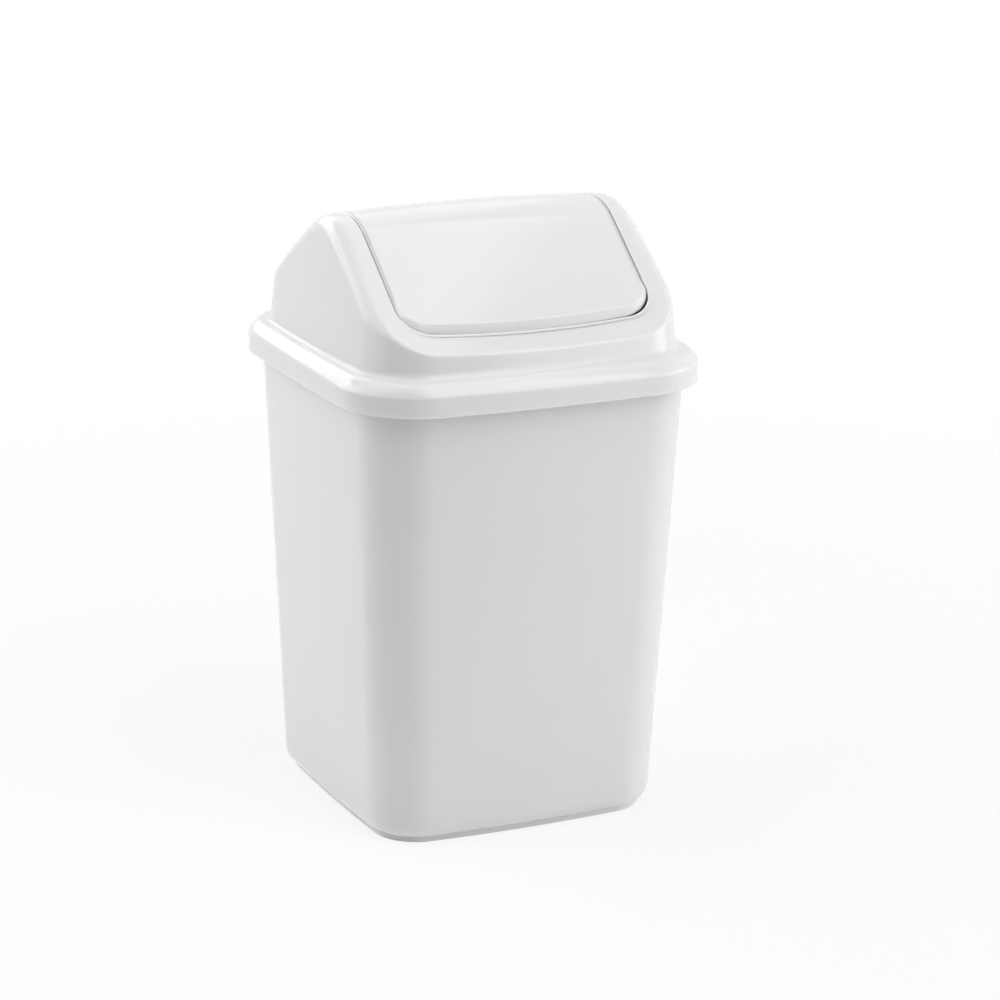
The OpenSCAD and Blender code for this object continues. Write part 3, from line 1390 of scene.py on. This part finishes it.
@dataclass(frozen=True)
class MouldedPlastic:
    """Glossy injection-moulded plastic: a slightly wavy skin with a fine grain in its gloss.

    Attributes:
        name: Material name.
        colour: Base colour, linear.
        gloss: Roughness at its middle.
        gloss_change: How much the roughness wanders.
        wave: Height of the long waves in millimetres.
        depth: How far light spreads under the skin, in metres.
        tint: Share by which the colour wanders either way.
        cloud_scale: Noise scale of the long waves.
        speck_scale: Noise scale of the grain.
        ior: Index of refraction.
    """

    name: str
    colour: tuple[float, float, float]
    gloss: float = 0.11
    gloss_change: float = 0.02
    wave: float = 0.008
    depth: float = 0.0012
    tint: float = 0.015
    cloud_scale: float = 22.0
    speck_scale: float = 1400.0
    ior: float = 1.49

    def noise(self, tree: "Tree", place: NodeSocket, scale: float) -> Wire:
        """A noise from 0 to 1 at a place."""
        inputs = {"Vector": place, "Scale": scale, "Detail": 2.0}
        return tree.wire(tree.node("TexNoise", inputs), "Fac")

    def make(self) -> Material:
        """Makes the material.

        Returns:
            The material.
        """
        material = bpy.data.materials.new(self.name)
        material.use_nodes = True
        tree = Tree(material.node_tree)
        place = tree.node("TexCoord", {}).outputs["Object"]
        cloud = self.noise(tree, place, self.cloud_scale)
        slow = cloud - 0.5
        fine = self.noise(tree, place, self.speck_scale) - 0.5
        rough = slow * (2 * self.gloss_change) + fine * self.gloss_change + self.gloss
        tint = tree.node(
            "Mix",
            {
                "Factor": cloud,
                "A": (*[c * (1 - self.tint) for c in self.colour], 1.0),
                "B": (*[min(1.0, c * (1 + self.tint)) for c in self.colour], 1.0),
            },
            data_type="RGBA",
        )
        waves = {"Height": slow * self.wave, "Distance": MM, "Strength": 1.0}
        bump = tree.node("Bump", waves)
        shader = tree.node(
            "BsdfPrincipled",
            {
                "Base Color": tint.outputs["Result"],
                "Roughness": rough,
                "Normal": bump.outputs["Normal"],
                "IOR": self.ior,
                "Subsurface Weight": 1.0,
                "Subsurface Radius": (1.0, 1.0, 1.0),
                "Subsurface Scale": self.depth,
            },
        )
        tree.node("OutputMaterial", {"Surface": shader.outputs["BSDF"]})
        return material


# --- studio -----------------------------------------------------------------


@dataclass(frozen=True)
class Softbox:
    """A rectangular lamp that faces the bin.

    Attributes:
        name: Lamp name.
        place: Centre in metres.
        size: Width and height in metres.
        power: Watts.
        aim: What the lamp faces, in metres.
    """

    name: str
    place: tuple[float, float, float]
    size: tuple[float, float]
    power: float
    aim: tuple[float, float, float] = (0.0, 0.0, 0.13)

    def make(self) -> None:
        """Makes the lamp."""
        data = bpy.data.lights.new(self.name, "AREA")
        data.shape = "RECTANGLE"
        data.size, data.size_y = self.size
        data.energy = self.power
        lamp = bpy.data.objects.new(self.name, data)
        lamp.location = self.place
        away = Vector(self.place) - Vector(self.aim)
        lamp.rotation_euler = away.to_track_quat("Z", "Y").to_euler()
        bpy.context.scene.collection.objects.link(lamp)


@dataclass
class Studio:
    """Pale floor, plain white surroundings, softboxes and the photograph's camera."""

    ambient: float = 0.03
    floor_colour: float = 0.92
    floor_glow: float = 0.80
    floor_half: float = 6.0
    fade_from: float = 0.15
    fade_to: float = 0.75
    lens: float = 127.2
    sensor: float = 36.0
    clip: tuple[float, float] = (0.05, 50.0)
    camera_place: tuple[float, float, float] = (-0.60743, -1.30121, 0.54878)
    forward: tuple[float, float, float] = (0.41392, 0.86548, -0.28216)
    roll: float = 0.902

    def camera(self) -> None:
        """Makes the camera at the photograph's viewpoint."""
        data = bpy.data.cameras.new("camera")
        data.lens = self.lens
        data.sensor_width = self.sensor
        data.clip_start, data.clip_end = self.clip
        camera = bpy.data.objects.new("camera", data)
        forward = Vector(self.forward).normalized()
        right = forward.cross(Vector((0, 0, 1))).normalized()
        up = right.cross(forward)
        c, s = math.cos(math.radians(self.roll)), math.sin(math.radians(self.roll))
        turned_right, turned_up = right * c + up * s, up * c - right * s
        axes = Matrix((turned_right, turned_up, -forward)).transposed()
        camera.matrix_world = Matrix.Translation(Vector(self.camera_place)) @ axes.to_4x4()
        bpy.context.scene.collection.objects.link(camera)
        bpy.context.scene.camera = camera

    def background_mask(self, tree: Tree) -> Wire:
        """1 for what the camera sees straight, in a reflection or through the object.

        Args:
            tree: The tree that the nodes are added to.

        Returns:
            1 where the plain background shows, 0 where it lights the object.
        """
        path = tree.node("LightPath", {})
        seen = tree.wire(path, "Is Camera Ray").larger(tree.wire(path, "Is Glossy Ray"))
        return seen.larger(tree.wire(path, "Is Transmission Ray"))

    def world(self) -> None:
        """White for the camera and reflections, a plain level of light for the object."""
        world = bpy.data.worlds.new("surroundings")
        bpy.context.scene.world = world
        world.use_nodes = True
        tree = Tree(world.node_tree)
        strength = self.background_mask(tree) * (1.0 - self.ambient) + self.ambient
        glow = tree.node("Background", {"Color": PURE_WHITE, "Strength": strength})
        tree.node("OutputWorld", {"Surface": glow.outputs[0]})

    def floor(self) -> None:
        """A wide pale floor that keeps the bin's shadow."""
        bm = bmesh.new()
        bmesh.ops.create_grid(bm, x_segments=1, y_segments=1, size=self.floor_half)
        mesh = bpy.data.meshes.new("floor")
        bm.to_mesh(mesh)
        bm.free()
        floor = bpy.data.objects.new("floor", mesh)
        bpy.context.scene.collection.objects.link(floor)
        material = bpy.data.materials.new("floor_paint")
        material.use_nodes = True
        tree = Tree(material.node_tree)
        paint = tree.node("BsdfDiffuse", {"Color": (*[self.floor_colour] * 3, 1.0)})
        glow = tree.node("Emission", {"Color": PURE_WHITE})
        place = tree.node("TexCoord", {}).outputs["Object"]
        away = tree.node("VectorMath", {0: place}, operation="LENGTH")
        fade = tree.node(
            "MapRange",
            {
                "Value": tree.wire(away, "Value"),
                "From Min": self.fade_from,
                "From Max": self.fade_to,
                "To Min": self.floor_glow,
                "To Max": 1.0,
            },
            interpolation_type="SMOOTHSTEP",
        )
        share = self.background_mask(tree) * tree.wire(fade, "Result")
        mixed = tree.node("MixShader", {0: share, 1: paint.outputs[0], 2: glow.outputs[0]})
        tree.node("OutputMaterial", {"Surface": mixed.outputs[0]})
        mesh.materials.append(material)

    def lamps(self) -> list[Softbox]:
        """The softboxes.

        Returns:
            The lamps, which are still to be made.
        """
        return [
            Softbox("back", (-0.4, 1.28, 0.8), (0.9, 0.6), 3.3),
            Softbox("left", (-1.3, 0.15, 0.35), (0.9, 0.9), 1.6),
            Softbox("left_back", (-1.0, 0.8, 0.6), (0.9, 0.9), 5.2),
            Softbox("left_top", (-0.9, 0.15, 1.15), (1.1, 1.1), 5.2),
            Softbox("top", (0.1, 0.1, 1.5), (0.9, 0.9), 4.3),
            Softbox("top_front", (0.3, -0.8, 1.3), (1.0, 1.0), 8.3),
            Softbox("top_back", (0.2, 0.9, 1.2), (0.9, 0.9), 1.6),
            Softbox("right_front", (0.8, -1.15, 0.45), (0.8, 0.8), 4.3),
            Softbox("right", (1.35, -0.5, 0.45), (0.9, 0.9), 5.7),
        ]

    def build(self) -> None:
        """Sets the whole studio up."""
        self.world()
        self.floor()
        for lamp in self.lamps():
            lamp.make()
        self.camera()
        bpy.context.scene.view_settings.view_transform = "Standard"


def main() -> None:
    """Builds the studio, the bucket, the hood and the flap."""
    logging.basicConfig(level=logging.INFO, format="%(name)s: %(message)s")
    Studio().build()
    body = MouldedPlastic("white_body", BODY_WHITE).make()
    panel = MouldedPlastic("white_flap", FLAP_WHITE).make()
    Workshop.dress(Bucket().build(), body, "bin", "bin", "body")
    hood = Hood()
    Workshop.dress(hood.build(), body, "hood", "hood", "body")
    fittings = HoodFittings(hood)
    Workshop.dress(fittings.lip(), body, "hood", "hood", "body")
    Workshop.dress(fittings.ears(), body, "hood", "hood", "body")
    flap = Flap()
    Workshop.dress(flap.build(), panel, "flap", "flap", "flap")
    Workshop.dress(flap.pins(), panel, "flap", "flap", "flap")


if __name__ == "__main__":
    main()
